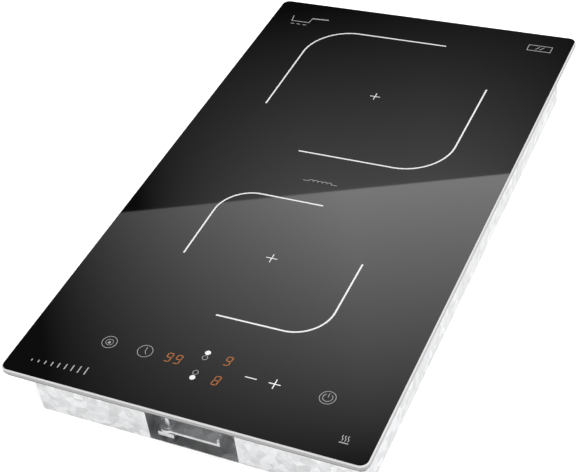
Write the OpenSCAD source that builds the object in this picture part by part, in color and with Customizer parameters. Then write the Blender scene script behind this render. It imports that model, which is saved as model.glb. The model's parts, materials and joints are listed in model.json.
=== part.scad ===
// Built-in electric induction cooktop, two zones in a narrow glass plate.
// Frame: X to the right, Y to the back, Z up. The origin is the middle of the housing's underside.

/* [Glass] */
// Width of the glass plate, side to side
glass_w = 288; // [276:1:360]
// Depth of the glass plate, front to back
glass_d = 520; // [505:1:640]
// Thickness of the glass plate
glass_t = 4; // [3:0.5:6]
// Corner radius of the glass plate
glass_corner_r = 7; // [3:0.5:14]
// Bevel ground on the upper edge of the glass
glass_bevel = 1; // [0.2:0.1:1.4]

/* [Housing] */
// How far the glass lies on the worktop at each side
rim_side = 10; // [8:0.5:14]
// How far the glass lies on the worktop at front and back
rim_end = 15; // [12:0.5:20]
// Gap between the housing and the edge of the cut-out
cutout_gap = 2; // [1:0.5:4]
// Height of the steel tray
tray_h = 50; // [49:0.5:56]
// Thickness of the tray's sheet steel
sheet_t = 1; // [0.8:0.1:1.2]
// Corner radius of the tray
tray_corner_r = 5; // [3:0.5:8]
// Width of the tray's inward flange, which carries the glass
flange_w = 8; // [6:0.5:10]
// Thickness of the silicone bead between flange and glass
bead_t = 2; // [1:0.25:3]
// Thickness of the foam seal under the rim of the glass
seal_t = 2.5; // [1.5:0.25:4]
// Width of the foam seal
seal_w = 7; // [4:0.5:8]
// Distance from the edge of the glass to the seal
seal_inset = 1.5; // [1:0.5:3]
// Width of a cooling slot in the tray's floor
vent_w = 4; // [3:0.5:5]
// Number of cooling slots under the fan
vent_count = 9; // [5:1:9]

/* [Cooking zones] */
// Diameter of the rear winding
rear_coil_d = 170; // [140:1:180]
// Diameter of the front winding
front_coil_d = 135; // [110:1:150]
// Diameter of the free middle of a winding
coil_eye_d = 34; // [26:1:44]
// Distance from the back edge of the glass to the middle of the rear zone
rear_zone_inset = 130; // [120:1:140]
// Distance from the front edge of the glass to the middle of the front zone
front_zone_inset = 169; // [165:1:175]
// Thickness of a winding
winding_t = 4; // [3:0.5:4.5]
// Width of one turn of a winding
turn_w = 4.2; // [3:0.1:6]
// Thickness of a coil's plastic carrier
carrier_t = 2.5; // [2:0.25:3]
// Thickness of a ferrite bar
ferrite_t = 3.5; // [2.5:0.25:4]
// Width of a ferrite bar
ferrite_w = 12; // [8:1:16]
// Number of ferrite bars under the rear winding
rear_ferrites = 8; // [6:1:10]
// Number of ferrite bars under the front winding
front_ferrites = 6; // [4:1:8]
// Thickness of the mica sheet over a winding
mica_t = 0.5; // [0.3:0.1:0.8]
// Gap between the mica sheet and the glass
mica_gap = 0.3; // [0.2:0.1:0.5]
// How far a coil can be pressed down on its springs
float_travel = 2; // [1:0.5:2.5]
// Diameter of a coil's guide pin
guide_pin_d = 4; // [3:0.5:5]
// Thickness of the aluminium plate that carries the coils
plate_t = 1.5; // [1:0.25:2]

/* [Fan] */
// Side of the square fan
fan_size = 92; // [80:1:96]
// Height of the fan
fan_h = 25; // [24:0.5:26]
// Outer diameter of the rotor's hub
fan_hub_d = 36; // [34:1:40]
// Number of fan blades
fan_blades = 7; // [5:1:11]
// Diameter of the fan's shaft
fan_shaft_d = 3; // [2:0.5:4]
// Gap round the fan's shaft in its bearing, on the radius
shaft_gap = 0.05; // [0.02:0.01:0.1]

/* [Electronics] */
// Depth of the power board, front to back
power_board_d = 150; // [140:1:160]
// Height of the power board over the tray's floor
board_lift = 7; // [5:0.5:8]
// Thickness of the circuit boards
board_t = 1.6; // [1:0.2:2]
// Width of the heatsink
heatsink_w = 56; // [40:1:60]
// Length of the heatsink
heatsink_l = 120; // [90:1:130]
// Height of the heatsink
heatsink_h = 22; // [16:1:23]
// Number of the heatsink's fins
heatsink_fins = 9; // [5:1:11]
// Depth of the control board
control_board_d = 40; // [38:1:44]
// Distance from the front edge of the glass to the row of keys
key_row_inset = 49.5; // [47:0.5:55]

/* [Worktop clamps] */
// Width of the pocket that holds a clamp
pocket_w = 72; // [68:1:84]
// Depth of the pocket
pocket_d = 16; // [15:0.5:18]
// Diameter of the clamp screw
clamp_screw_d = 5; // [4:0.5:6]
// How far the clamp arm rises on its screw
clamp_travel = 20; // [10:1:20]
// Reach of the clamp arm from its screw
clamp_reach = 44; // [36:1:46]

/* [Mains inlet] */
// Diameter of the bore in the cable gland
gland_bore_d = 10; // [8:0.5:11]
// Distance from the housing's middle to the gland
gland_x = 88; // [70:1:95]

/* [Hidden] */
$fn = 48;
e = 0.01;
gap = 0.3;

// Heights
glass_z = tray_h + bead_t;
top_z = glass_z + glass_t;
mica_z = glass_z - mica_gap - mica_t;
winding_z = mica_z - winding_t;
carrier_z = winding_z - carrier_t;
ferrite_z = carrier_z - ferrite_t;
plate_z = ferrite_z - float_travel - 0.6 - plate_t;
board_z = sheet_t + board_lift;
board_top = board_z + board_t;

// Housing
tray_w = glass_w - 2 * rim_side - 2 * cutout_gap;
tray_d = glass_d - 2 * rim_end - 2 * cutout_gap;
inner_w = tray_w - 2 * sheet_t;
inner_d = tray_d - 2 * sheet_t;
pocket_back = inner_d / 2 - pocket_d;

// Zones
rear_zone_y = glass_d / 2 - rear_zone_inset;
front_zone_y = -glass_d / 2 + front_zone_inset;
lug_out = 6;
spring_d = 8;
spring_wire = 0.9;

// Coil plate and its pillars
pillar_d = 7;
pillar_x = inner_w / 2 - pillar_d / 2 - 3;
plate_w = inner_w - 4;
plate_back = pocket_back - sheet_t - 6;
plate_front = front_zone_y - front_coil_d / 2 - lug_out - 8;
plate_hole_d = 3.2;

// Fan and air path
fan_x = -inner_w / 2 + 13 + fan_size / 2;
fan_y = pocket_back - sheet_t - 9 - fan_size / 2;
fan_bore = fan_size - 5;
fan_tube_d = 9;
fan_floor_t = 2.5;
fan_bearing_d = 6;
fan_hole = fan_size / 2 - 5;
hub_z = sheet_t + 4.5;
hub_h = fan_h - 8;

// Power board
pillar_rear_y = fan_y - fan_size / 2 - 9;
board_back = pillar_rear_y - pillar_d / 2 - 4;
board_front = board_back - power_board_d;
board_w = inner_w - 2 * (pillar_d + 6);
board_y = (board_back + board_front) / 2;
board_post_x = board_w / 2 - 6;
heatsink_x = -board_w / 2 + 12 + heatsink_w / 2;
heatsink_y = board_back - 6 - heatsink_l / 2;
chip_x = heatsink_x + heatsink_w / 2;

// Controls, measured from the middle of the glass
key_y = -glass_d / 2 + key_row_inset;
select_step = 10;
key_places = [[-77.25, 0], [-47.25, 0], [-2.25, select_step], [-2.25, -select_step],
    [37.75, 0], [56.25, 0], [96.25, 0]];
led_places = [[-77.25, 0], [-47.25, 0], [96.25, 0]];
timer_x = -23.85;
digit_x = 15.5;
key_board_z = glass_z - 9;
key_board_w = 200;
key_board_x = 9;
key_board_top = key_board_z + board_t;
display_h = glass_z - key_board_top - gap;
leg_d = 7;

// Clamps
clamp_stack = 16;
pocket_h = clamp_travel + clamp_stack;
clamp_inset = 8;
clamp_x = 23;
clamp_head_d = 8;
clamp_nut_z = sheet_t + 4;
clamp_arm_t = 2.5;
clamp_arm_w = 11;
clamp_collar_d = 8;
clamp_fit = 0.05;
screw_clear = 0.1;

// ---------- shared shapes ----------

// Flat rounded rectangle with true arcs
module round_rect(w, d, r) {
    square([w - 2 * r, d], center = true);
    square([w, d - 2 * r], center = true);
    for (x = [-1, 1], y = [-1, 1])
        translate([x * (w / 2 - r), y * (d / 2 - r)]) circle(r = r);
}

// Rounded slab from z up
module slab(w, d, r, z, h) {
    translate([0, 0, z]) linear_extrude(h) round_rect(w, d, r);
}

// Upright rectangular ring
module frame_ring(w, d, r, wall, z, h) {
    translate([0, 0, z]) linear_extrude(h) difference() {
        round_rect(w, d, r);
        round_rect(w - 2 * wall, d - 2 * wall, max(r - wall, 0.5));
    }
}

module rod(x, y, z, d, h) {
    translate([x, y, z]) cylinder(d = d, h = h);
}

module tube(x, y, z, d, bore, h) {
    translate([x, y, z]) difference() {
        cylinder(d = d, h = h);
        translate([0, 0, -e]) cylinder(d = bore, h = h + 2 * e);
    }
}

module block(x, y, z, w, d, h) {
    translate([x - w / 2, y - d / 2, z]) cube([w, d, h]);
}

// Pan-head screw, its head resting at z and its shank going down
module pan_screw(x, y, z, d, len) {
    rod(x, y, z - len, d, len);
    translate([x, y, z]) difference() {
        cylinder(d = 2 * d, h = 0.6 * d);
        for (a = [0, 90])
            rotate([0, 0, a]) translate([-d * 0.6, -d * 0.12, 0.3 * d]) cube([d * 1.2, d * 0.24, d]);
    }
}

// Coil spring of round wire, swept along a helix, from z up
module helix(x, y, z, d_low, d_high, wire, turns, h, steps = 10, sides = 6) {
    rings = round(turns * steps);
    function mid(i) = let (t = i / rings, r = (d_low + (d_high - d_low) * t - wire) / 2, a = 360 * turns * t)
        [r * cos(a), r * sin(a), wire / 2 + (h - wire) * t];
    function out(i) = let (a = 360 * turns * i / rings) [cos(a), sin(a), 0];
    pts = [for (i = [0:rings], s = [0:sides - 1])
        let (b = 360 * s / sides) mid(i) + wire / 2 * (cos(b) * out(i) + [0, 0, sin(b)])];
    skin = [for (i = [0:rings - 1], s = [0:sides - 1]) let (n = (s + 1) % sides)
        [i * sides + s, i * sides + n, (i + 1) * sides + n, (i + 1) * sides + s]];
    low_cap = [[for (s = [0:sides - 1]) sides - 1 - s]];
    high_cap = [[for (s = [0:sides - 1]) rings * sides + s]];
    translate([x, y, z]) polyhedron(pts, concat(skin, low_cap, high_cap), convexity = 8);
}

// ---------- glass, seal and tray ----------

// One bar of the bevelled edge layer, across the width w and as long as d
module bevel_bar(w, d) {
    rotate([90, 0, 0]) linear_extrude(d, center = true)
        polygon([[-w / 2, 0], [w / 2, 0], [w / 2 - glass_bevel, glass_bevel], [-w / 2 + glass_bevel, glass_bevel]]);
}

module glass_plate() {
    r = glass_corner_r;
    color("#0b0b0d") {
        slab(glass_w, glass_d, r, glass_z, glass_t - glass_bevel);
        translate([0, 0, top_z - glass_bevel]) {
            bevel_bar(glass_w, glass_d - 2 * r);
            rotate([0, 0, 90]) bevel_bar(glass_d, glass_w - 2 * r);
            for (x = [-1, 1], y = [-1, 1])
                translate([x * (glass_w / 2 - r), y * (glass_d / 2 - r), 0])
                    cylinder(r1 = r, r2 = r - glass_bevel, h = glass_bevel);
        }
    }
}

module glass_bond() {
    color("#1c1c1e")
        frame_ring(tray_w - 1, tray_d - 1, tray_corner_r - 0.5, flange_w - 1, tray_h, bead_t);
}

module rim_seal() {
    color("#2b2b2d")
        frame_ring(glass_w - 2 * seal_inset, glass_d - 2 * seal_inset, glass_corner_r - seal_inset, seal_w,
            glass_z - seal_t, seal_t);
}

// Box that surrounds a clamp's pocket, for the front wall; y is turned for the back wall
module pocket_shell() {
    translate([-pocket_w / 2 - sheet_t, -tray_d / 2, 0])
        cube([pocket_w + 2 * sheet_t, pocket_d + 2 * sheet_t, sheet_t + pocket_h + sheet_t]);
}

module pocket_space() {
    translate([-pocket_w / 2, -tray_d / 2 - 1, sheet_t]) cube([pocket_w, pocket_d + sheet_t + 1, pocket_h]);
    rod(-clamp_x, -tray_d / 2 + clamp_inset, -1, clamp_screw_d, sheet_t + 2);
    rod(-clamp_x, -tray_d / 2 + clamp_inset, pocket_h, clamp_screw_d + 2 * screw_clear, 2 * sheet_t + 2);
}

module floor_vents() {
    pitch = fan_bore / vent_count;
    for (i = [0:vent_count - 1]) {
        x = (i - (vent_count - 1) / 2) * pitch;
        half = sqrt(pow(fan_bore / 2, 2) - x * x) - 2;
        translate([fan_x + x - vent_w / 2, fan_y - half, -1]) cube([vent_w, 2 * half, sheet_t + 2]);
    }
}

// Air leaves through upright slots in the front of the left wall
module wall_vents() {
    for (i = [0:11])
        translate([-tray_w / 2 - 1, board_front - 14 - 9 * i, 14]) cube([sheet_t + 2, vent_w, 20]);
}

module base_tray() {
    color("#b9bcc0") difference() {
        union() {
            slab(tray_w, tray_d, tray_corner_r, 0, sheet_t);
            frame_ring(tray_w, tray_d, tray_corner_r, sheet_t, 0, tray_h);
            frame_ring(tray_w, tray_d, tray_corner_r, flange_w, tray_h - sheet_t, sheet_t);
            pocket_shell();
            rotate([0, 0, 180]) pocket_shell();
        }
        pocket_space();
        rotate([0, 0, 180]) pocket_space();
        floor_vents();
        wall_vents();
        translate([gland_x, tray_d / 2 + 1, gland_z]) rotate([90, 0, 0]) cylinder(d = gland_neck_d, h = sheet_t + 2);
    }
}

module coil_plate() {
    color("#c9ccd0") difference() {
        translate([-plate_w / 2, plate_front, plate_z]) cube([plate_w, plate_back - plate_front, plate_t]);
        for (p = pillar_places) rod(p[0], p[1], plate_z - 1, plate_hole_d, plate_t + 2);
        guide_holes(rear_coil_d, rear_zone_y);
        guide_holes(front_coil_d, front_zone_y);
        for (y = [rear_zone_y, front_zone_y]) rod(0, y, plate_z - 1, coil_eye_d, plate_t + 2);
        for (p = lead_places) rod(p[0], p[1], plate_z - 1, lead_d + 1.5, plate_t + 2);
    }
}

module guide_holes(coil_d, y) {
    for (a = lug_angles)
        translate([0, y, plate_z - 1]) rotate([0, 0, a]) translate([coil_d / 2 + lug_out, 0, 0])
            cylinder(d = guide_pin_d + 2 * clamp_fit, h = plate_t + 2);
}

lug_angles = [30, 150, 270];
pillar_places = [for (x = [-1, 1], y = [plate_back - 6, pillar_rear_y, plate_front + 6]) [x * pillar_x, y]];

module plate_pillars() {
    color("#c8c9cc") for (p = pillar_places)
        translate([p[0], p[1], sheet_t]) difference() {
            cylinder(d = pillar_d, h = plate_z - sheet_t, $fn = 6);
            translate([0, 0, plate_z - sheet_t - 9]) cylinder(d = 2.6, h = 10);
        }
}

module plate_screws() {
    color("#d5d5d8") for (p = pillar_places) pan_screw(p[0], p[1], plate_z + plate_t, 2.6, 7);
}

// ---------- coils ----------

module coil_carrier(coil_d, y, bars) {
    color("#2a2c30") translate([0, y, 0]) {
        difference() {
            rod(0, 0, carrier_z, coil_d, carrier_t);
            for (i = [0:bars - 1]) rotate([0, 0, (i + 0.5) * 360 / bars])
                block(coil_d * 0.36, 0, carrier_z - 1, coil_d * 0.14, 10, carrier_t + 2);
        }
        for (a = lug_angles) rotate([0, 0, a]) {
            block(coil_d / 2 + 1, 0, carrier_z, 2 * lug_out, 12, carrier_t);
            rod(coil_d / 2 + lug_out, 0, carrier_z, 12, carrier_t);
            rod(coil_d / 2 + lug_out, 0, plate_z - gap, guide_pin_d, carrier_z - plate_z + gap);
            rod(coil_d / 2 + lug_out, 0, plate_z - gap - 1, guide_pin_d + 1.2, 1);
        }
    }
}

// Flat winding, its turns parted by fine grooves in both faces
module coil_winding(coil_d, y) {
    turns = floor((coil_d - coil_eye_d) / 2 / turn_w);
    color("#b8713a") translate([0, y, winding_z]) rotate_extrude($fn = 96) difference() {
        translate([coil_eye_d / 2, 0]) square([turns * turn_w, winding_t]);
        for (i = [1:turns - 1], z = [-1, winding_t - 0.6])
            translate([coil_eye_d / 2 + i * turn_w - 0.2, z]) square([0.4, 1.6]);
    }
}

module ferrite_bars(coil_d, y, bars) {
    length = (coil_d - coil_eye_d) / 2 - 6;
    color("#3b3b3e") translate([0, y, ferrite_z]) for (i = [0:bars - 1])
        rotate([0, 0, i * 360 / bars]) translate([coil_eye_d / 2 + 3, -ferrite_w / 2, 0])
            cube([length, ferrite_w, ferrite_t]);
}

module mica_sheet(coil_d, y) {
    color("#d9cfae") tube(0, y, mica_z, coil_d + 2, sensor_d + 4, mica_t);
}

sensor_d = 9;

module heat_sensor(y) {
    color("#e8e8e6") {
        rod(0, y, winding_z, sensor_d, glass_z - gap - winding_z);
        rod(0, y, winding_z, sensor_d + 6, 1);
    }
}

module coil_springs(coil_d, y) {
    color("#c2c4c8") for (a = lug_angles)
        helix((coil_d / 2 + lug_out) * cos(a), y + (coil_d / 2 + lug_out) * sin(a), plate_z + plate_t,
            spring_d, spring_d, spring_wire, 4, carrier_z - plate_z - plate_t);
}

// ---------- power electronics ----------

module power_board() {
    color("#1f5a3a") difference() {
        block(0, board_y, board_z, board_w, power_board_d, board_t);
        for (p = board_posts) rod(p[0], p[1], board_z - 1, plate_hole_d, board_t + 2);
    }
}

board_posts = [for (x = [-1, 1], y = [board_front + 6, board_back - 6]) [x * board_post_x, y]];

module board_pillars() {
    color("#c8c9cc") for (p = board_posts) tube(p[0], p[1], sheet_t, 6, 2.6, board_lift);
}

module board_screws() {
    color("#d5d5d8") for (p = board_posts) pan_screw(p[0], p[1], board_top, 2.6, 6);
}

module heatsink() {
    base_t = 4;
    pitch = heatsink_w / heatsink_fins;
    color("#aeb2b8") {
        block(heatsink_x, heatsink_y, board_top, heatsink_w, heatsink_l, base_t);
        for (i = [0:heatsink_fins - 1])
            block(heatsink_x + (i - (heatsink_fins - 1) / 2) * pitch, heatsink_y, board_top,
                1.6, heatsink_l, heatsink_h);
        block(chip_x - 1.5, heatsink_y, board_top, 3, heatsink_l, heatsink_h);
    }
}

// Upright power parts clamped to the heatsink's side wall
module power_transistors() {
    color("#202124") for (i = [0:3])
        block(chip_x + 2.5, heatsink_y - 50 + i * 22, board_top + 1, 5, 16, 20);
}

module bridge_rectifier() {
    color("#202124") block(chip_x + 2.5, heatsink_y + 45, board_top + 1, 5, 26, 18);
}

module resonance_capacitors() {
    color("#c9a227") for (i = [0:3]) block(chip_x + 26, board_front + 22 + i * 20, board_top, 26, 12, 20);
}

module bus_capacitor() {
    color("#c9a227") block(chip_x + 26, board_front + 110, board_top, 32, 18, 20);
}

module filter_choke() {
    color("#b8713a") translate([choke_x, board_back - 30, board_top]) rotate_extrude()
        translate([12, 6]) circle(d = 12);
}

module filter_capacitors() {
    color("#3a6ea5") for (y = [board_back - 62, board_back - 78]) block(choke_x, y, board_top, 26, 10, 18);
}

module power_relay() {
    color("#26282c") block(choke_x, board_front + 46, board_top, 28, 13, 16);
}

module mains_fuse() {
    color("#dfe6ea") {
        translate([choke_x - 10, board_front + 24, board_top + 4]) rotate([0, 90, 0]) cylinder(d = 5, h = 20);
        for (x = [-9, 9]) block(choke_x + x, board_front + 24, board_top, 2, 6, 3);
    }
}

choke_x = board_w / 2 - 34;
lead_d = 2.5;
lead_places = [for (y = [board_back - 8, board_front + 8], x = [-5, 5]) [x, y]];

// Two leads rise to each coil through holes in the coil plate
module coil_leads() {
    color("#c0562b") for (p = lead_places)
        rod(p[0], p[1], board_top, lead_d, ferrite_z - float_travel - gap - board_top);
}

// ---------- fan ----------

module fan_frame() {
    color("#232427") translate([fan_x, fan_y, sheet_t]) difference() {
        union() {
            translate([0, 0, fan_floor_t]) linear_extrude(fan_h - fan_floor_t) difference() {
                square(fan_size, center = true);
                circle(d = fan_bore);
            }
            linear_extrude(fan_floor_t) difference() {
                square(fan_size, center = true);
                for (a = [0:90:270]) rotate(a) difference() {
                    intersection() {
                        circle(d = fan_bore);
                        translate([2, 2]) square(fan_size);
                    }
                    circle(d = fan_hub_d - 2);
                }
            }
            rod(0, 0, 0, fan_tube_d, fan_h - 9);
        }
        rod(0, 0, fan_floor_t, fan_bearing_d, fan_h);
        for (x = [-1, 1], y = [-1, 1]) rod(x * fan_hole, y * fan_hole, -1, 4, fan_h + 2);
    }
}

module fan_bearing() {
    color("#b08d57")
        tube(fan_x, fan_y, sheet_t + fan_floor_t, fan_bearing_d, fan_shaft_d + 2 * shaft_gap,
            fan_h - 9 - fan_floor_t);
}

module fan_stator() {
    color("#a8552a") translate([fan_x, fan_y, sheet_t + 5]) difference() {
        union() {
            tube(0, 0, 0, fan_tube_d + 5, fan_tube_d, 8);
            for (a = [0:90:270]) rotate([0, 0, a]) block(fan_tube_d / 2 + 3.6, 0, 0, 6, 6, 8);
        }
        rod(0, 0, -1, fan_tube_d, 10);
    }
}

module fan_shaft() {
    foot_z = sheet_t + fan_floor_t + gap;
    color("#d0d2d6") rod(fan_x, fan_y, foot_z, fan_shaft_d, hub_z + hub_h - foot_z);
}

module fan_magnet() {
    color("#3a3a3c") tube(fan_x, fan_y, hub_z + 0.5, fan_hub_d - 3, fan_hub_d - 7, hub_h - 4);
}

module fan_rotor() {
    blade_r = fan_bore / 2 - 1.5;
    color("#2e3034") translate([fan_x, fan_y, hub_z]) {
        difference() {
            cylinder(d = fan_hub_d, h = hub_h);
            translate([0, 0, -1]) cylinder(d = fan_hub_d - 3, h = hub_h - 1);
            translate([0, 0, -1]) cylinder(d = fan_shaft_d, h = hub_h + 2);
        }
        intersection() {
            tube(0, 0, 0, 2 * blade_r, fan_hub_d - 1, hub_h);
            for (i = [0:fan_blades - 1]) rotate([0, 0, i * 360 / fan_blades])
                translate([fan_hub_d / 2 - 1, 0, hub_h / 2]) rotate([38, 0, 0])
                    translate([0, -13, -0.8]) cube([blade_r, 26, 1.6]);
        }
    }
}

module fan_screws() {
    color("#d5d5d8") for (x = [-1, 1], y = [-1, 1])
        translate([fan_x + x * fan_hole, fan_y + y * fan_hole, 0]) pan_screw(0, 0, sheet_t + fan_h, 3.6, fan_h);
}

// Hood over the fan that turns the air forward along the heatsink
module air_duct() {
    hood_z = sheet_t + fan_h;
    side_x = fan_hole - 6;
    color("#393b40") {
        for (x = [-1, 1]) block(fan_x + x * side_x, fan_y, hood_z, 1.5, fan_size, 5);
        block(fan_x, fan_y + fan_size / 2 - 0.75, hood_z, 2 * side_x, 1.5, 5);
        block(fan_x, fan_y, hood_z + 5, 2 * side_x + 1.5, fan_size, 1.5);
    }
}

// ---------- controls ----------

module control_tray() {
    color("#2d2f33") {
        translate([key_board_x, key_y, 0]) difference() {
            block(0, 0, key_board_z - 4, key_board_w + 6, control_board_d + 6, 5);
            block(0, 0, key_board_z - 2, key_board_w, control_board_d, 10);
            block(0, 0, key_board_z - 5, key_board_w - 16, control_board_d - 12, 10);
        }
        for (x = [-1, 1], y = [-1, 1])
            rod(key_board_x + x * (key_board_w / 2 - 4), key_y + y * (control_board_d / 2 - 2), sheet_t, leg_d,
                key_board_z - 4 - sheet_t);
        for (x = [-1, 1], y = [-1, 1])
            block(key_board_x + x * (key_board_w / 2 - 4), key_y + y * (control_board_d / 2 - 2), key_board_z - 2,
                6, 3, 2);
    }
}

module control_board() {
    color("#1f5a3a") block(key_board_x, key_y, key_board_z, key_board_w - 0.6, control_board_d - 0.6, board_t);
}

module touch_springs() {
    color("#d3d5d9") for (p = key_places)
        helix(p[0], key_y + p[1], key_board_top, 8, 8, 0.6, 4, display_h);
}

module display_case(x, y, w, d) {
    color("#141416") block(x, y, key_board_top, w, d, display_h);
}

module timer_display() {
    display_case(timer_x, key_y, 18, 13);
}

module rear_display() {
    display_case(digit_x, key_y + select_step, 9, 12.5);
}

module front_display() {
    display_case(digit_x, key_y - select_step, 9, 12.5);
}

module indicator_leds() {
    color("#f3e6d8") for (p = led_places) rod(p[0], key_y + p[1], key_board_top, 3, display_h - 1);
}

module buzzer() {
    color("#1b1b1d") tube(78, key_y - 8, key_board_top, 12, 2, 5);
}

// Flat cable from the control board's edge down to the power board
module ribbon_cable() {
    run_y = key_y + control_board_d / 2 + 9;
    cable_t = 0.9;
    color("#9aa0a6") translate([70, 0, 0]) rotate([90, 0, 90]) linear_extrude(20) {
        translate([run_y - 10.2, key_board_top]) square([10.2, cable_t]);
        translate([run_y - cable_t, board_top + 6]) square([cable_t, key_board_top - board_top - 6 + cable_t]);
        translate([run_y - cable_t, board_top + 6]) square([board_front + 8 - run_y + cable_t, cable_t]);
        translate([board_front + 8 - cable_t, board_top]) square([cable_t, 6]);
    }
}

// ---------- mains inlet ----------

gland_z = 16;
gland_neck_d = gland_bore_d + 4;
terminal_y = inner_d / 2 - 40;
terminal_count = 5;
terminal_pitch = 11;

module terminal_block() {
    color("#e9e7e0") difference() {
        block(gland_x - 10, terminal_y, sheet_t, terminal_count * terminal_pitch, 22, 18);
        for (i = [0:terminal_count - 1]) {
            x = gland_x - 10 + (i - (terminal_count - 1) / 2) * terminal_pitch;
            rod(x, terminal_y, sheet_t + 6, 5, 20);
            block(x, terminal_y + 8, sheet_t + 5, 6, 10, 6);
        }
    }
}

module terminal_screws() {
    color("#c9a84a") for (i = [0:terminal_count - 1])
        rod(gland_x - 10 + (i - (terminal_count - 1) / 2) * terminal_pitch, terminal_y, sheet_t + 6, 4.8, 9);
}

// Flanged bush through the back wall, with its nut inside
module cable_gland() {
    color("#1d1d1f") translate([gland_x, tray_d / 2, gland_z]) rotate([-90, 0, 0]) difference() {
        union() {
            translate([0, 0, -18]) cylinder(d = gland_neck_d, h = 20);
            cylinder(d = gland_neck_d + 6, h = 4);
            translate([0, 0, 4]) cylinder(d1 = gland_neck_d + 4, d2 = gland_neck_d, h = 6);
            translate([0, 0, -sheet_t - 6]) cylinder(d = gland_neck_d + 8, h = 6, $fn = 6);
        }
        translate([0, 0, -20]) cylinder(d = gland_bore_d, h = 40);
    }
}

module earth_screw() {
    color("#c9a84a") {
        pan_screw(gland_x - 52, terminal_y, sheet_t + 3, 4, 3);
        tube(gland_x - 52, terminal_y, sheet_t, 9, 4, 3);
    }
}

// ---------- worktop clamps ----------

// Each is drawn for the front wall and turned half round for the back wall
module clamp_screw() {
    color("#c6c8cc") translate([-clamp_x, -tray_d / 2 + clamp_inset, 0]) {
        difference() {
            rod(0, 0, sheet_t + gap, clamp_head_d, 2.5);
            for (a = [0, 90]) rotate([0, 0, a]) block(0, 0, sheet_t + gap - 1, 3.5, 0.9, 2.2);
        }
        rod(0, 0, sheet_t + gap, clamp_screw_d, pocket_h + sheet_t + 0.2);
    }
}

module clamp_nut() {
    bore = clamp_screw_d + 2 * screw_clear;
    color("#d5d5d8") translate([-clamp_x, -tray_d / 2 + clamp_inset, clamp_nut_z]) difference() {
        union() {
            block(0, 0.5, 0, 13, 13, 4);
            rod(0, 0, 4, clamp_collar_d, clamp_arm_t + 2 * gap);
            rod(0, 0, 4 + clamp_arm_t + 2 * gap, clamp_collar_d + 2, 1);
        }
        rod(0, 0, -1, bore, 20);
    }
}

// Steel strip with a turned-up toe that bites the underside of the worktop
module clamp_arm() {
    arm_z = clamp_nut_z + 4 + gap;
    color("#b4b7bb") translate([-clamp_x, -tray_d / 2 + clamp_inset, arm_z]) difference() {
        union() {
            rod(0, 0, 0, clamp_arm_w + 2, clamp_arm_t);
            block(clamp_reach / 2, 0, 0, clamp_reach, clamp_arm_w, clamp_arm_t);
            block(clamp_reach - 1, 0, 0, 2, clamp_arm_w, 5);
            for (i = [-1:1]) block(clamp_reach - 1, i * 4, 0, 2, 2, 7);
        }
        rod(0, 0, -1, clamp_collar_d + 2 * clamp_fit, 10);
    }
}

glass_plate();
glass_bond();
rim_seal();
base_tray();
coil_plate();
plate_pillars();
plate_screws();
coil_carrier(rear_coil_d, rear_zone_y, rear_ferrites);  // rear_coil_carrier
coil_winding(rear_coil_d, rear_zone_y);  // rear_coil_winding
ferrite_bars(rear_coil_d, rear_zone_y, rear_ferrites);  // rear_ferrite_bars
mica_sheet(rear_coil_d, rear_zone_y);  // rear_mica_sheet
heat_sensor(rear_zone_y);  // rear_heat_sensor
coil_springs(rear_coil_d, rear_zone_y);  // rear_coil_springs
coil_carrier(front_coil_d, front_zone_y, front_ferrites);  // front_coil_carrier
coil_winding(front_coil_d, front_zone_y);  // front_coil_winding
ferrite_bars(front_coil_d, front_zone_y, front_ferrites);  // front_ferrite_bars
mica_sheet(front_coil_d, front_zone_y);  // front_mica_sheet
heat_sensor(front_zone_y);  // front_heat_sensor
coil_springs(front_coil_d, front_zone_y);  // front_coil_springs
power_board();
board_pillars();
board_screws();
heatsink();
power_transistors();
bridge_rectifier();
resonance_capacitors();
bus_capacitor();
filter_choke();
filter_capacitors();
power_relay();
mains_fuse();
coil_leads();
fan_frame();
fan_bearing();
fan_stator();
fan_shaft();
fan_magnet();
fan_rotor();
fan_screws();
air_duct();
control_tray();
control_board();
touch_springs();
timer_display();
rear_display();
front_display();
indicator_leds();
buzzer();
ribbon_cable();
terminal_block();
terminal_screws();
cable_gland();
earth_screw();
clamp_screw();  // front_clamp_screw
clamp_nut();  // front_clamp_nut
clamp_arm();  // front_clamp_arm
rotate([0, 0, 180]) clamp_screw();  // rear_clamp_screw
rotate([0, 0, 180]) clamp_nut();  // rear_clamp_nut
rotate([0, 0, 180]) clamp_arm();  // rear_clamp_arm
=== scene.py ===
# %% [markdown]
# # A built-in induction cooktop
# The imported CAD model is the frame: the glass plate, its seal, the steel tray and all that it holds are already
# at their true size and place. This lesson gives each of them its finish, prints the zones and keys on the glass,
# lights the digits, and sets up a small photo studio. All lengths are in metres.

# %% Load the frame
import json
import math

import bmesh
import bpy
from mathutils import Euler, Matrix, Vector


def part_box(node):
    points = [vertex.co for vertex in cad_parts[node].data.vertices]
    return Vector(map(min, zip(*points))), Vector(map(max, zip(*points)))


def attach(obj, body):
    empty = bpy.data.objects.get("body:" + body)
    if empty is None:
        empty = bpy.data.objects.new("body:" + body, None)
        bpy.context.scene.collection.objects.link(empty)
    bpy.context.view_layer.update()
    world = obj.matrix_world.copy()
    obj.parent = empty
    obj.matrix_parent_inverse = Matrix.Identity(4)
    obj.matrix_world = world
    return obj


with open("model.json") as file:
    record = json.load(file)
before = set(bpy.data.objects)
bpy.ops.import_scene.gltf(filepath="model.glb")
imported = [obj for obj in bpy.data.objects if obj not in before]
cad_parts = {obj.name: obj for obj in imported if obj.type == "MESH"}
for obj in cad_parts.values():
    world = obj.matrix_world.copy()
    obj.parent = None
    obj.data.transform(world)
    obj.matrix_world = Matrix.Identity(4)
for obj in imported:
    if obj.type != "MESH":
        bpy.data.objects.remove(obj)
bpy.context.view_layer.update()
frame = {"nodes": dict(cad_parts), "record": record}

MM = 0.001

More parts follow.
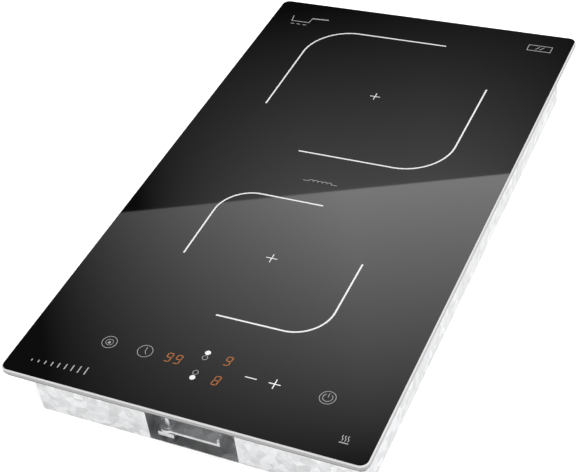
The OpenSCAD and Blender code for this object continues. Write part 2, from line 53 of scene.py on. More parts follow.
# %% [markdown]
# The glass is the piece that everything else refers to. Its box gives the plane of the cooking surface, and its
# edges are where a maker's drawing measures the print from. So one helper turns "so far from the left edge, so far
# from the front edge" into a place on the plate.

# %% Measures of the glass plate
glass_low, glass_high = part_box("glass_plate")
GLASS_TOP = glass_high.z
GLASS_LEFT, GLASS_FRONT, GLASS_BACK = glass_low.x, glass_low.y, glass_high.y
GLASS_WIDTH = glass_high.x - glass_low.x


def on_glass(from_left, from_front):
    """The place on the plate that many millimetres from its left and its front edge."""
    return Vector((GLASS_LEFT + from_left * MM, GLASS_FRONT + from_front * MM))


print("glass", round(GLASS_WIDTH / MM), "by", round((GLASS_BACK - GLASS_FRONT) / MM), "mm")

# %% [markdown]
# A finish is a small calculation that runs at every point of the surface. Written out as boxes and wires it is hard
# to read, so a tiny class stands for one wire and lets it be added, multiplied and compared. Each sign adds one Math
# node. The reflected forms make `1 - mask` work as well as `mask - 1`.


# %% A wire that can be calculated with
class Wire:
    """One output socket, usable in sums."""

    def __init__(self, tree, socket):
        self.tree = tree
        self.socket = socket

    def maths(self, operation, first, second=None):
        node = self.tree.nodes.new("ShaderNodeMath")
        node.operation = operation
        plug(self.tree, node.inputs[0], first)
        if second is not None:
            plug(self.tree, node.inputs[1], second)
        return Wire(self.tree, node.outputs[0])

    def __add__(self, other):
        return self.maths("ADD", self, other)

    def __radd__(self, other):
        return self.maths("ADD", other, self)

    def __sub__(self, other):
        return self.maths("SUBTRACT", self, other)

    def __rsub__(self, other):
        return self.maths("SUBTRACT", other, self)

    def __mul__(self, other):
        return self.maths("MULTIPLY", self, other)

    def __rmul__(self, other):
        return self.maths("MULTIPLY", other, self)

    def __truediv__(self, other):
        return self.maths("DIVIDE", self, other)

    def __rtruediv__(self, other):
        return self.maths("DIVIDE", other, self)

    def __lt__(self, other):
        return self.maths("LESS_THAN", self, other)

    def clamped(self):
        return self.maths("MAXIMUM", self.maths("MINIMUM", self, 1.0), 0.0)


def plug(tree, socket, value):
    """Links a wire to a socket, or sets a plain number or colour on it."""
    if isinstance(value, Wire):
        tree.links.new(value.socket, socket)
        return
    if isinstance(value, tuple) and len(value) == 3 and socket.type == "RGBA":
        value = (*value, 1.0)
    socket.default_value = value


# %% [markdown]
# Every other node comes from one method: it takes the node's type, its settings, which are made first because they
# can change its sockets, and then the values or wires of its sockets.


# %% One place where nodes are made
class Nodes:
    """The node tree of a material or of the world."""

    def __init__(self, tree):
        self.tree = tree

    def make(self, kind, settings=None, output=0, **sockets):
        node = self.tree.nodes.new("ShaderNode" + kind)
        for name, value in (settings or {}).items():
            if name == "stops":
                set_stops(node.color_ramp, value)
            else:
                setattr(node, name, value)
        for name, value in sockets.items():
            plug(self.tree, node.inputs[name.replace("_", " ")], value)
        return Wire(self.tree, node.outputs[output])

    def mix(self, factor, first, second):
        """Blends two colours."""
        node = self.tree.nodes.new("ShaderNodeMix")
        node.data_type = "RGBA"
        plug(self.tree, node.inputs[0], factor)
        plug(self.tree, node.inputs[6], first)
        plug(self.tree, node.inputs[7], second)
        return Wire(self.tree, node.outputs[2])

    def scaled(self, vector, factors):
        """The same place with each axis scaled, so that round grain turns into lines."""
        node = self.tree.nodes.new("ShaderNodeVectorMath")
        node.operation = "MULTIPLY"
        plug(self.tree, node.inputs[0], vector)
        plug(self.tree, node.inputs[1], factors)
        return Wire(self.tree, node.outputs[0])


def set_stops(ramp, stops):
    """Gives a colour ramp its stops: pairs of place and grey level or colour."""
    while len(ramp.elements) > 1:
        ramp.elements.remove(ramp.elements[-1])
    for i, (place, level) in enumerate(stops):
        element = ramp.elements[0] if i == 0 else ramp.elements.new(place)
        element.position = place
        colour = level if isinstance(level, tuple) else (level, level, level)
        element.color = (*colour, 1.0)


# %% [markdown]
# A finish is a Principled shader with fixed numbers set on the shader itself, and only what changes over the surface
# wired in: colour, roughness, metal, glow and the fine relief.


# %% A finish
class Finish(Nodes):
    """A named material around one Principled shader."""

    def __init__(self, name, **constants):
        self.material = bpy.data.materials.new(name)
        self.material.use_nodes = True
        super().__init__(self.material.node_tree)
        self.shader = self.tree.nodes["Principled BSDF"]
        self.place = self.make("TexCoord", output=3)
        for socket, value in constants.items():
            plug(self.tree, self.shader.inputs[socket.replace("_", " ")], value)

    def wire(self, **sockets):
        for socket, value in sockets.items():
            plug(self.tree, self.shader.inputs[socket.replace("_", " ")], value)
        return self

    def noise(self, scale, detail=3.0, vector=None, rough=0.55):
        return self.make("TexNoise", Vector=vector or self.place, Scale=scale, Detail=detail, Roughness=rough)

    def cells(self, scale, output=0, vector=None):
        return self.make("TexVoronoi", output=output, Vector=vector or self.place, Scale=scale)

    def grey(self, level, green=1.0, blue=1.0):
        """A grey of that level. Its green and blue shares make it a little warmer or cooler."""
        return self.make("CombineColor", Red=level, Green=level * green, Blue=level * blue)

    def relief(self, height, depth, strength=1.0):
        """Turns a height from 0 to 1 into tilted normals, that many metres deep."""
        return self.wire(Normal=self.make("Bump", Strength=strength, Distance=depth, Height=height))


# %% [markdown]
# Glass-ceramic is nearly black, and almost all that is seen of it is what it mirrors. Its polish is never quite even:
# wiping leaves broad, faint patches that are a little less sharp. The rim is ground, not polished, so it scatters
# light and looks pale grey. On top of that grey, the rim is painted lighter where it faces up and darker where it
# faces down: painted light and shade. A mask made from the way the surface faces parts the polished pane from the
# rim, so one material serves the whole plate.


# %% Black glass with a ground rim
FACES_UP = 0.95
PANE_BLACK = (0.0022, 0.0022, 0.0025)
FLECK_GREY = (0.02, 0.02, 0.021)
FLECK_SHARE = 0.04
POLISH, WIPED_HAZE, GROUND_HAZE = 0.012, 0.010, 0.42


def black_glass():
    glass = Finish("black_glass_ceramic", IOR=1.5)
    facing = glass.make("SeparateXYZ", output=2, Vector=glass.make("NewGeometry", output=1))
    rim = facing < FACES_UP
    wiped = glass.noise(7.0, 2.0)
    fine = glass.noise(2600.0, 2.0)
    flecks = (glass.cells(1400.0) < 0.10) * FLECK_SHARE
    # The rim's grey is the pale grey of ground glass plus painted light: it rises the more the face turns up, so the
    # upper bevel is painted lighter and downward faces are painted darker.
    ground_grey_and_painted_light = glass.grey(0.30 + facing * 0.42 + (fine - 0.5) * 0.08, blue=1.01)
    pane = glass.mix(flecks, PANE_BLACK, FLECK_GREY)
    glass.wire(Base_Color=glass.mix(rim, pane, ground_grey_and_painted_light), Roughness=POLISH + wiped * WIPED_HAZE + rim * GROUND_HAZE)
    glass.relief(fine * rim, 0.00004)
    return glass.material


# %% [markdown]
# The print on such a plate is ceramic enamel, screened on and fired. It has a trace of the screen's grain in it and a
# dull surface beside the polish around it. The zones are laid on thick and white. The key signs are thinner ink, which
# lets a little of the black show through.


# %% Fired enamel
def printed_ink(name, level, spread, roughness, blue=1.0):
    """Ink with that grey level and roughness. Its grain makes both a little uneven."""
    ink = Finish(name, Specular_IOR_Level=0.3)
    grain = ink.noise(3000.0, 2.0)
    ink.wire(Base_Color=ink.grey(level + grain * spread, blue=blue), Roughness=roughness + grain * 0.15)
    ink.relief(grain, 0.00001)
    return ink.material


# %% [markdown]
# The digits are lit from below through the dark glass. The glow is amber and dim, with the soft unevenness of a
# diffuser foil.


# %% Amber glow
def amber_glow():
    glow = Finish("amber_digit_glow", Base_Color=(0.02, 0.006, 0.002), Roughness=0.4, Emission_Strength=1.0)
    patch = glow.noise(900.0, 1.0)
    glow.wire(Emission_Color=glow.mix(patch, (0.34, 0.10, 0.022), (0.60, 0.21, 0.055)))
    return glow.material


# %% [markdown]
# Under the rim a strip of closed-cell foam seals the glass to the worktop. Its skin is full of tiny pits, which a cell
# texture gives directly. The silicone that holds the glass is smoother and slightly wavy.


# %% Foam and silicone
def foam():
    seal = Finish("seal_foam", Specular_IOR_Level=0.2)
    pits = seal.cells(1500.0)
    tone = 0.020 + pits * 0.035
    seal.wire(Base_Color=seal.grey(tone, blue=1.05), Roughness=0.82 + pits * 0.1)
    seal.relief(pits, 0.00025)
    return seal.material


def silicone():
    bead = Finish("silicone_bead")
    wave = bead.noise(140.0, 2.0)
    tone = 0.015 + wave * 0.012
    bead.wire(Base_Color=bead.grey(tone), Roughness=0.35 + wave * 0.15)
    bead.relief(wave, 0.0003)
    return bead.material


# %% [markdown]
# The tray is folded from hot-dip galvanised sheet. The zinc freezes in flat crystals, the spangle, and each crystal
# mirrors the room at its own angle, so the sheet looks like a mosaic of slightly different greys. The colour output
# of a cell texture gives each crystal its own random number. Fine rolling lines run along the sheet.


# %% Galvanised steel
def galvanised():
    sheet = Finish("galvanised_steel", Metallic=1.0)
    crystal = sheet.make("SeparateColor", Color=sheet.cells(150.0, output=1))
    small = sheet.make("SeparateColor", Color=sheet.cells(420.0, output=1))
    rolling = sheet.noise(300.0, 2.0, sheet.scaled(sheet.place, (1.0, 0.04, 1.0)))
    tone = 0.46 + crystal * 0.20 + small * 0.08 + rolling * 0.06
    sheet.wire(Base_Color=sheet.grey(tone, green=1.005, blue=1.015), Roughness=0.30 + crystal * 0.16 + small * 0.06)
    sheet.relief(crystal * 0.5 + rolling * 0.5, 0.00006, 0.6)
    return sheet.material


# %% [markdown]
# The other metals share one recipe: a base colour, a grain that is stretched along one axis for drawn or milled stock,
# and a roughness that follows the grain.


# %% Plain metals
def metal(name, colour, grain_scale, stretch, roughness):
    stock = Finish(name, Metallic=1.0)
    grain = stock.noise(grain_scale, 3.0, stock.scaled(stock.place, stretch))
    stain = stock.noise(60.0, 2.0)
    dark = tuple(c * 0.78 for c in colour)
    stock.wire(Base_Color=stock.mix(grain * 0.6 + stain * 0.4, dark, colour),
               Roughness=roughness + grain * 0.14 + stain * 0.06)
    stock.relief(grain, 0.00002)
    return stock.material


# %% [markdown]
# Moulded parts carry the fine spark-eroded grain of their tool. Boards, capacitor cases, ferrites and rubber differ in
# colour, in the size of their grain and in gloss, so one function with those as its inputs makes them all.


# %% Moulded and pressed parts
def moulding(name, colour, grain_scale=1800.0, depth=0.00003, roughness=0.5, spread=0.25):
    part = Finish(name)
    grain = part.noise(grain_scale, 3.0)
    cloud = part.noise(45.0, 2.0)
    low = tuple(c * (1 - spread) for c in colour)
    high = tuple(min(c * (1 + spread), 1.0) for c in colour)
    part.wire(Base_Color=part.mix(cloud * 0.5 + grain * 0.5, low, high), Roughness=roughness + grain * 0.15)
    part.relief(grain, depth)
    return part.material


def circuit_board():
    """Green lacquer with paler copper tracks showing through."""
    board = Finish("green_circuit_board")
    track = board.make("TexBrick", {"offset": 0.5}, Vector=board.place, Scale=55.0, Mortar_Size=0.03)
    lane = board.make("SeparateColor", Color=track)
    weave = board.noise(1500.0, 2.0)
    board.wire(Base_Color=board.mix(lane * 0.6, (0.010, 0.085, 0.040), (0.022, 0.150, 0.070)),
               Roughness=0.28 + weave * 0.12)
    board.relief(lane, 0.00003)
    return board.material


def litz_copper():
    """Enamelled strands, which lie side by side round the middle of the coil."""
    wire = Finish("litz_copper", Metallic=0.6)
    strand = wire.noise(1600.0, 2.0)
    turn = wire.noise(220.0, 1.0)
    wire.wire(Base_Color=wire.mix(strand * 0.7 + turn * 0.3, (0.30, 0.10, 0.035), (0.62, 0.25, 0.10)),
              Roughness=0.32 + strand * 0.2)
    wire.relief(strand, 0.00008)
    return wire.material


# %% Give every CAD piece its finish
EVEN_GRAIN = (1.0, 1.0, 1.0)
ALONG_Y = (1.0, 0.03, 1.0)
ALONG_Z = (1.0, 1.0, 0.1)
FINISHES = {
    "black_glass": black_glass(),
    "silicone": silicone(),
    "foam_rubber": foam(),
    "zinc_steel": galvanised(),
    "sheet_aluminium": metal("sheet_aluminium", (0.78, 0.79, 0.80), 500.0, ALONG_Y, 0.28),
    "zinc_screw": metal("zinc_screw", (0.70, 0.71, 0.73), 900.0, EVEN_GRAIN, 0.24),
    "bright_steel": metal("bright_steel", (0.76, 0.76, 0.77), 700.0, ALONG_Z, 0.16),
    "bronze": metal("bronze", (0.66, 0.44, 0.17), 700.0, EVEN_GRAIN, 0.26),
    "circuit_board": circuit_board(),
    "black_moulding": moulding("black_moulding", (0.022, 0.022, 0.024)),
    "display_case": moulding("display_case", (0.012, 0.012, 0.013), 2500.0, 0.00001, 0.15),
    "yellow_film_case": moulding("yellow_film_case", (0.60, 0.38, 0.05), 1200.0, 0.00002, 0.22, 0.1),
    "blue_film_case": moulding("blue_film_case", (0.05, 0.14, 0.36), 1200.0, 0.00002, 0.22, 0.1),
    "ivory_moulding": moulding("ivory_moulding", (0.70, 0.66, 0.55), 1800.0, 0.00003, 0.42, 0.06),
    "copper_litz": litz_copper(),
    "ferrite": moulding("sintered_ferrite", (0.045, 0.045, 0.050), 900.0, 0.00006, 0.6, 0.3),
    "mica": moulding("mica_sheet", (0.55, 0.49, 0.34), 260.0, 0.00002, 0.35, 0.2),
    "sensor_ceramic": moulding("sensor_ceramic", (0.80, 0.80, 0.77), 1500.0, 0.00001, 0.4, 0.05),
    "fuse_glass": moulding("fuse_glass", (0.66, 0.72, 0.72), 300.0, 0.00001, 0.08, 0.08),
    "lead_rubber": moulding("lead_rubber", (0.42, 0.13, 0.05), 1300.0, 0.00004, 0.5, 0.12),
}
for part in frame["record"]["subparts"]:
    node = frame["nodes"][part["node"]]
    node.data.materials.clear()
    node.data.materials.append(FINISHES[part["material_slot"]])
ENAMEL = printed_ink("white_enamel", 0.80, 0.12, 0.45, blue=0.995)
FINE_ENAMEL = printed_ink("grey_enamel", 0.34, 0.16, 0.5)
AMBER = amber_glow()
print(len(frame["nodes"]), "CAD pieces finished with", len(FINISHES), "materials")

# %% [markdown]
# Print is only microns thick, but it is still a body with edges. So each sign is a closed solid, a few hundredths of a
# millimetre high, that lies on the glass. A pen that draws with a given width along a line of points is enough for all
# of them: straight strokes, arcs and rings are only different lines.

# %% A pen for the print
PRINT_LIFT = 0.008 * MM
PRINT_HEIGHT = 0.045 * MM


def arc(centre, radius, start, end, steps=24):
    """Points along an arc, angles in degrees."""
    angles = [math.radians(start + (end - start) * i / steps) for i in range(steps + 1)]
    return [Vector((centre[0] + radius * math.cos(a), centre[1] + radius * math.sin(a))) for a in angles]


def stroke(mesh, line, width, closed=False):
    """Adds a flat bar of that width along a line of points, with mitred corners."""
    points = [Vector(p) for p in line]
    count = len(points)
    levels = (GLASS_TOP + PRINT_LIFT, GLASS_TOP + PRINT_LIFT + PRINT_HEIGHT)
    rings = []
    for i, point in enumerate(points):
        before = points[i - 1] if closed or i > 0 else None
        after = points[(i + 1) % count] if closed or i < count - 1 else None
        into = (point - before).normalized() if before is not None else (after - point).normalized()
        away = (after - point).normalized() if after is not None else into
        along = (into + away).normalized()
        side = Vector((-along.y, along.x)) * (width / 2 / max(along.dot(into), 0.3))
        corners = [(point + side, levels[0]), (point - side, levels[0]), (point - side, levels[1]),
                   (point + side, levels[1])]
        rings.append([mesh.verts.new((c.x, c.y, z)) for c, z in corners])
    for i in range(count if closed else count - 1):
        this, following = rings[i], rings[(i + 1) % count]
        for k in range(4):
            mesh.faces.new((this[k], this[(k + 1) % 4], following[(k + 1) % 4], following[k]))
    if not closed:
        mesh.faces.new(rings[0][::-1])
        mesh.faces.new(rings[-1])


def disc(mesh, centre, radius, steps=32):
    """Adds a flat round spot."""
    rim = arc(centre, radius, 0, 360, steps)[:-1]
    low = [mesh.verts.new((p.x, p.y, GLASS_TOP + PRINT_LIFT)) for p in rim]
    high = [mesh.verts.new((p.x, p.y, GLASS_TOP + PRINT_LIFT + PRINT_HEIGHT)) for p in rim]
    mesh.faces.new(low[::-1])
    mesh.faces.new(high)
    for i in range(steps):
        j = (i + 1) % steps
        mesh.faces.new((low[i], low[j], high[j], high[i]))


def printed(name, draw, material):
    """Makes one printed piece from a function that draws on an empty mesh, and lays it on the housing's body."""
    mesh = bmesh.new()
    draw(mesh)
    bmesh.ops.recalc_face_normals(mesh, faces=mesh.faces)
    data = bpy.data.meshes.new(name)
    mesh.to_mesh(data)
    mesh.free()
    data.materials.append(material)
    piece = bpy.data.objects.new(name, data)
    bpy.context.scene.collection.objects.link(piece)
    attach(piece, "root")
    print(name, len(data.polygons), "faces")
    return piece


# %% [markdown]
# A cooking zone is marked by two opposite corners of a square, drawn as one fine line each. The second is the first,
# turned half round the middle of the zone. The middle itself has a small cross, where the pan should stand.

# %% The two cooking zones
ZONE_LINE = 1.4 * MM
CROSS_LINE = 0.75 * MM
CROSS_ARM = 4.6 * MM


def zone_corner(middle, half, radius, overrun):
    """Up the left side, round the rear left corner and along the rear side."""
    left, back = middle.x - half, middle.y + half
    line = [Vector((left, middle.y - overrun))]
    line += arc((left + radius, back - radius), radius, 180, 90)
    line.append(Vector((middle.x + overrun, back)))
    return line


def draw_zone(middle, half, radius, overrun):
    def draw(mesh):
        corner = zone_corner(middle, half, radius, overrun)
        stroke(mesh, corner, ZONE_LINE)
        stroke(mesh, [2 * middle - p for p in corner], ZONE_LINE)

    return draw


def draw_cross(middle):
    def draw(mesh):
        arm = CROSS_ARM
        stroke(mesh, [middle - Vector((arm, 0)), middle + Vector((arm, 0))], CROSS_LINE)
        for end in (-1, 1):
            near, far = Vector((0, end * CROSS_LINE / 2)), Vector((0, end * arm))
            stroke(mesh, [middle + near, middle + far], CROSS_LINE)

    return draw


rear_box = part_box("rear_coil_winding")
front_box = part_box("front_coil_winding")
REAR_ZONE = Vector((0, (rear_box[0].y + rear_box[1].y) / 2))
FRONT_ZONE = Vector((0, (front_box[0].y + front_box[1].y) / 2))
REAR_HALF, REAR_RADIUS, REAR_OVERRUN = 90 * MM, 40 * MM, 34.2 * MM
FRONT_HALF, FRONT_RADIUS, FRONT_OVERRUN = 69.5 * MM, 29 * MM, 14 * MM
printed("rear_zone_print", draw_zone(REAR_ZONE, REAR_HALF, REAR_RADIUS, REAR_OVERRUN), ENAMEL)
printed("front_zone_print", draw_zone(FRONT_ZONE, FRONT_HALF, FRONT_RADIUS, FRONT_OVERRUN), ENAMEL)
printed("rear_zone_cross", draw_cross(REAR_ZONE), ENAMEL)
printed("front_zone_cross", draw_cross(FRONT_ZONE), ENAMEL)

# %% [markdown]
# The keys are only signs on the glass: a spring under each one feels the finger through it. Lock, timer and on-off are
# rings with a small sign inside. Which zone is being set is shown by a filled and an open dot, stacked like the zones.

# %% The round keys
KEY_LINE = 0.42 * MM
KEY_RING = 5.8 * MM
KEY_ROW = 49.5
LOCK = on_glass(66.75, KEY_ROW)
TIMER = on_glass(96.75, KEY_ROW)
POWER = on_glass(240.25, KEY_ROW)


def ring(mesh, centre, radius, width):
    stroke(mesh, arc(centre, radius, 0, 360, 48)[:-1], width, closed=True)


def draw_lock(mesh):
    ring(mesh, LOCK, KEY_RING, KEY_LINE)
    ring(mesh, LOCK, 2.9 * MM, KEY_LINE * 0.8)
    x, y = LOCK
    stroke(mesh, [(x - 1.0 * MM, y - 0.6 * MM), (x + 1.0 * MM, y - 0.6 * MM)], 1.4 * MM)
    stroke(mesh, arc((x, y + 0.3 * MM), 0.7 * MM, 0, 180, 12), 0.35 * MM)


def draw_timer(mesh):
    ring(mesh, TIMER, KEY_RING, KEY_LINE)
    stroke(mesh, [TIMER + Vector((0, 4.3 * MM)), TIMER, TIMER + Vector((1.9 * MM, -2.9 * MM))], KEY_LINE)


def draw_power(mesh):
    ring(mesh, POWER, KEY_RING, KEY_LINE)
    stroke(mesh, arc(POWER, 3.5 * MM, 125, 415, 36), KEY_LINE)
    stroke(mesh, [POWER + Vector((0, 0.4 * MM)), POWER + Vector((0, 4.2 * MM))], KEY_LINE)


printed("lock_key_print", draw_lock, FINE_ENAMEL)
printed("timer_key_print", draw_timer, FINE_ENAMEL)
printed("power_key_print", draw_power, FINE_ENAMEL)

# %% The zone selectors, minus and plus
DOT = 2.2 * MM
SELECT_X = 141.75


def draw_dot(y):
    return lambda mesh: disc(mesh, on_glass(SELECT_X, y), DOT)


def draw_open_dot(y):
    return lambda mesh: ring(mesh, on_glass(SELECT_X, y), DOT - KEY_LINE / 2, KEY_LINE)


def draw_bar(centre, length, width):
    def draw(mesh):
        stroke(mesh, [centre - Vector((length / 2, 0)), centre + Vector((length / 2, 0))], width)

    return draw


def draw_plus(centre, length, width):
    def draw(mesh):
        draw_bar(centre, length, width)(mesh)
        for end in (-1, 1):
            stroke(mesh, [centre + Vector((0, end * width / 2)), centre + Vector((0, end * length / 2))], width)

    return draw


BAR_LENGTH = 9.0 * MM
BAR_WIDTH = 0.85 * MM
printed("rear_selector_dot", draw_dot(62.25), ENAMEL)
printed("rear_selector_ring", draw_open_dot(57.15), FINE_ENAMEL)
printed("front_selector_dot", draw_dot(37.0), ENAMEL)
printed("front_selector_ring", draw_open_dot(42.1), FINE_ENAMEL)
printed("minus_print", draw_bar(on_glass(181.75, KEY_ROW), BAR_LENGTH, BAR_WIDTH), ENAMEL)
printed("plus_print", draw_plus(on_glass(200.25, KEY_ROW), BAR_LENGTH, BAR_WIDTH), ENAMEL)

# %% [markdown]
# The lit numbers are seven-bar digits, leaning a little to the right. Each bar is one stroke, and a digit is the list
# of bars that are on.

# %% The lit digits
DIGIT_HEIGHT = 9.0 * MM
DIGIT_WIDTH = 4.7 * MM
SEGMENT = 0.72 * MM
SEGMENT_GAP = 0.35 * MM
LEAN = 0.14
BARS = {
    "top": ((0, 1), (1, 1)), "upper_right": ((1, 1), (1, 0.5)), "lower_right": ((1, 0.5), (1, 0)),
    "bottom": ((0, 0), (1, 0)), "lower_left": ((0, 0), (0, 0.5)), "upper_left": ((0, 0.5), (0, 1)),
    "middle": ((0, 0.5), (1, 0.5)),
}
NINE = ["top", "upper_left", "upper_right", "middle", "lower_right", "bottom"]
EIGHT = list(BARS)


def draw_digits(centres, bars):
    def draw(mesh):
        inner_width, inner_height = DIGIT_WIDTH - SEGMENT, DIGIT_HEIGHT - SEGMENT
        for centre in centres:
            for name in bars:
                ends = []
                for u, v in BARS[name]:
                    x, y = (u - 0.5) * inner_width, (v - 0.5) * inner_height
                    ends.append(centre + Vector((x + LEAN * y, y)))
                step = (ends[1] - ends[0]).normalized() * SEGMENT_GAP
                stroke(mesh, [ends[0] + step, ends[1] - step], SEGMENT)

    return draw


timer_digits = [on_glass(116.4, KEY_ROW), on_glass(123.9, KEY_ROW)]
printed("timer_digits", draw_digits(timer_digits, NINE), AMBER)
printed("rear_digit", draw_digits([on_glass(159.5, 59.25)], NINE), AMBER)
printed("front_digit", draw_digits([on_glass(159.5, 39.5)], EIGHT), AMBER)

# %% [markdown]
# The plate has small printed marks near its corners. They are kept plain: a rising power scale at the front left, a
# hot-surface sign at the front right, a pan at the rear left, a pane of glass at the rear right, and between the zones
# the engineer's sign for a coil.

# %% Plain marks
MARK_LINE = 0.7 * MM


def draw_power_scale(mesh):
    bars, first, pitch = 9, on_glass(20.0, 14.6), 5.6 * MM
    for i in range(bars):
        foot = first + Vector((i * pitch, 0))
        stroke(mesh, [foot, foot + Vector((0, (1.8 + 0.7 * i) * MM))], 0.9 * MM)


def draw_heat_sign(mesh):
    middle = on_glass(265.5, 18.5)
    for column in (-1, 0, 1):
        wave = [
            middle + Vector(((column * 2.1 + 0.55 * math.sin(t / 12 * 2 * math.pi)) * MM, (-1.3 + t * 0.4) * MM))
            for t in range(13)
        ]
        stroke(mesh, wave, 0.55 * MM)
    stroke(mesh, [middle + Vector((-3.3 * MM, -2.9 * MM)), middle + Vector((3.3 * MM, -2.9 * MM))], 0.8 * MM)


def draw_pan(mesh):
    left, foot = on_glass(20.5, 487.0)
    rim = foot + 8.5 * MM
    stroke(mesh, [(left, rim), (left + 1.2 * MM, foot), (left + 18.8 * MM, foot), (left + 20 * MM, rim)], MARK_LINE)
    stroke(mesh, [(left + 20.6 * MM, rim - 1.2 * MM), (left + 36 * MM, rim - 0.2 * MM)], 1.3 * MM)
    for i in range(3):
        start = Vector((left + (2.0 + 6.2 * i) * MM, foot - 4.5 * MM))
        stroke(mesh, [start, start + Vector((3.6 * MM, 0))], MARK_LINE)


def draw_coil_sign(mesh):
    middle, loop = on_glass(144, 265.0), 2.0 * MM
    line = [middle + Vector((-15 * MM, 0))]
    for i in range(-2, 3):
        line += arc(middle + Vector((2 * i * loop, 0)), loop, 180, 0, 12)[0 if i == -2 else 1:]
    line.append(middle + Vector((15 * MM, 0)))
    stroke(mesh, line, 0.5 * MM)


def draw_pane(mesh):
    x, y = on_glass(260, 496.5)
    wide, high = 10.5 * MM, 4.2 * MM
    stroke(mesh, [(x - wide, y - high), (x + wide, y - high), (x + wide, y + high), (x - wide, y + high)], 0.6 * MM,
           closed=True)
    for shift in (-3.5, 0.5):
        stroke(mesh, [(x + shift * MM, y - 2.2 * MM), (x + (shift + 3.2) * MM, y + 2.2 * MM)], 0.6 * MM)


printed("power_scale_print", draw_power_scale, FINE_ENAMEL)
printed("heat_sign_print", draw_heat_sign, FINE_ENAMEL)
printed("pan_print", draw_pan, FINE_ENAMEL)
printed("coil_sign_print", draw_coil_sign, FINE_ENAMEL)
printed("pane_print", draw_pane, FINE_ENAMEL)

# %% [markdown]
# The camera stands to the front right and looks down on the plate at about forty degrees, through a long lens that
# keeps the sides nearly parallel.

# %% Camera
camera_data = bpy.data.cameras.new("camera")
camera_data.lens = 85.34
camera_data.shift_x = 0.06
camera_data.clip_start, camera_data.clip_end = 0.05, 60.0
camera = bpy.data.objects.new("camera", camera_data)
camera.location = (0.3966, -0.7761, 0.7497)
camera.rotation_euler = Euler([math.radians(a) for a in (49.44, 7.02, 24.85)])
bpy.context.scene.collection.objects.link(camera)
bpy.context.scene.camera = camera

# %% [markdown]
# The studio has a pale floor under even light. The floor also shines a little by itself, so that it stays white far
# from the lamps. What the polished glass shows of itself is what it mirrors, so the
# room behind it matters more than the lamps: a large lit wall with a straight lower edge lays a bright field over the
# front of the plate that ends in a crisp slanting line. To put that line where it belongs, the camera is mirrored in
# the glass, and the wall is set on the rays from there through two points of the plate's sides.


# %% Helpers for the studio
def stage_mesh(name, corners, material):
    data = bpy.data.meshes.new(name)
    data.from_pydata([tuple(c) for c in corners], [], [tuple(range(len(corners)))])
    data.materials.append(material)
    thing = bpy.data.objects.new(name, data)
    bpy.context.scene.collection.objects.link(thing)
    return thing


FLOOR_HALF = 12.0
FLOOR_SHINE = 0.45
floor_paint = Finish("studio_floor", Roughness=0.9, Specular_IOR_Level=0.1, Emission_Color=(1.0, 1.0, 1.0),
                     Emission_Strength=FLOOR_SHINE)
floor_paint.wire(Base_Color=floor_paint.mix(floor_paint.noise(3.0), (0.90, 0.90, 0.90), (0.93, 0.93, 0.93)))
stage_mesh("studio_floor", [(-FLOOR_HALF, -FLOOR_HALF, 0), (FLOOR_HALF, -FLOOR_HALF, 0), (FLOOR_HALF, FLOOR_HALF, 0),
                            (-FLOOR_HALF, FLOOR_HALF, 0)], floor_paint.material)

# %% The lit wall behind the plate
WALL_DISTANCE = 5.5
mirrored_eye = Vector((camera.location.x, camera.location.y, 2 * GLASS_TOP - camera.location.z))
centre_ray = (Vector((0, 0, GLASS_TOP)) - mirrored_eye).normalized()
wall_point = mirrored_eye + centre_ray * WALL_DISTANCE


def seen_on_wall(x, y):
    """The point of the wall that the plate shows at (x, y)."""
    ray = Vector((x, y, GLASS_TOP)) - mirrored_eye
    return mirrored_eye + ray * ((wall_point - mirrored_eye).dot(centre_ray) / ray.dot(centre_ray))


LINE_AT_LEFT, LINE_AT_RIGHT = 183 * MM, 319 * MM
edge_left = seen_on_wall(GLASS_LEFT, GLASS_FRONT + LINE_AT_LEFT)
edge_right = seen_on_wall(GLASS_LEFT + GLASS_WIDTH, GLASS_FRONT + LINE_AT_RIGHT)
across = (edge_right - edge_left).normalized()
upward = centre_ray.cross(across).normalized()
if upward.z < 0:
    upward = -upward
edge_middle = (edge_left + edge_right) / 2
WALL_WIDE, WALL_UP, WALL_DOWN = 2.4, 2.0, 1.5


def glow_material(name, strength_of):
    """A surface that only shines, its strength worked out from its own coordinates by strength_of(u, v)."""
    panel = Finish(name, Base_Color=(0.0, 0.0, 0.0), Roughness=1.0, Specular_IOR_Level=0.0, Emission_Strength=1.0)
    u = panel.make("SeparateXYZ", output=0, Vector=panel.place)
    v = panel.make("SeparateXYZ", output=1, Vector=panel.place)
    return panel.wire(Emission_Color=panel.grey(strength_of(u, v))).material


UPPER_PEAK, UPPER_LEAST = 3.01, 0.04
LOWER_PEAK, LOWER_LEAST = 0.9, 0.02


def upper_glow(u, v):
    """Brightest along the lower edge and to the right, fading upwards."""
    side = ((1.0 + u * 0.867) / 1.116).clamped()
    fade = (1.0 - v * 0.864).clamped()
    return side * fade * UPPER_PEAK + UPPER_LEAST


def lower_glow(u, v):
    """A dim wall, lighter under the edge and right of its middle, nearly dark far below."""
    side = (1.0 + u * 0.576 - u * u * 1.172).clamped()
    fade = (1.0 + v * 1.983 + v * v * 0.846).clamped()
    return side * fade * LOWER_PEAK + LOWER_LEAST


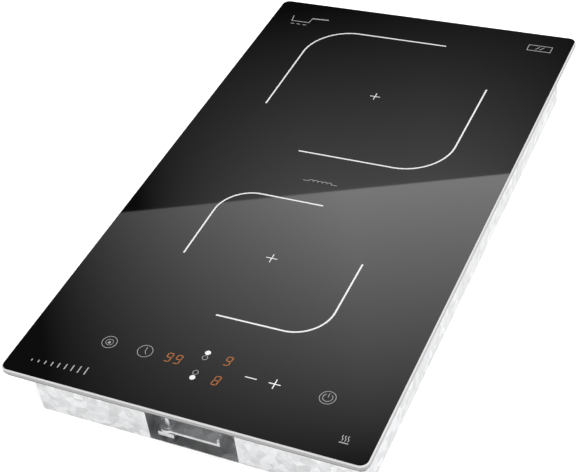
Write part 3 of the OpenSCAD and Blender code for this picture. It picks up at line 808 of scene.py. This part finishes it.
def lit_wall(name, low_v, high_v, glow):
    corners = [(-WALL_WIDE, low_v, 0), (WALL_WIDE, low_v, 0), (WALL_WIDE, high_v, 0), (-WALL_WIDE, high_v, 0)]
    wall = stage_mesh(name, corners, glow_material(name, glow))
    facing = across.cross(upward)
    turned = Matrix((across, upward, facing)).transposed().to_4x4()
    wall.matrix_world = Matrix.Translation(edge_middle) @ turned
    return wall


lit_wall("upper_wall_panel", 0.0, WALL_UP, upper_glow)
lit_wall("lower_wall_panel", -WALL_DOWN, 0.0, lower_glow)
print("wall edge from", [round(c, 2) for c in edge_left], "to", [round(c, 2) for c in edge_right])

# %% [markdown]
# Soft boxes above, in front and to the sides light the floor and the housing evenly. They stay clear of the part of
# the room that the glass mirrors.


# %% Lamps
def soft_box(name, location, size, power):
    light = bpy.data.lights.new(name, "AREA")
    light.shape = "RECTANGLE"
    light.size, light.size_y = size
    light.energy = power
    lamp = bpy.data.objects.new(name, light)
    lamp.location = location
    lamp.rotation_euler = (-Vector(location)).to_track_quat("-Z", "Y").to_euler()
    bpy.context.scene.collection.objects.link(lamp)


soft_box("overhead_box", (0.9, -1.2, 2.8), (2.6, 2.6), 62)
soft_box("left_box", (-3.0, -1.4, 1.8), (2.0, 2.0), 26)
soft_box("right_box", (3.0, 0.4, 1.8), (2.0, 2.0), 26)
soft_box("rear_box", (1.6, 3.4, 2.6), (2.4, 1.6), 26)

# %% [markdown]
# The world is the rest of the room: pale near the horizon, where the walls meet the floor, and darker overhead.

# %% World
world = bpy.data.worlds.new("studio_world")
bpy.context.scene.world = world
world.use_nodes = True
sky = Nodes(world.node_tree)
height = sky.make("SeparateXYZ", output=2, Vector=sky.make("TexCoord", output=0))
level = sky.make("ValToRGB", {"stops": [(0.0, 1.0), (0.22, 1.0), (0.42, 0.22), (1.0, 0.35)]}, Fac=height)
background = world.node_tree.nodes["Background"]
world.node_tree.links.new(level.socket, background.inputs["Color"])
background.inputs["Strength"].default_value = 1.0
bpy.context.scene.view_settings.view_transform = "Standard"
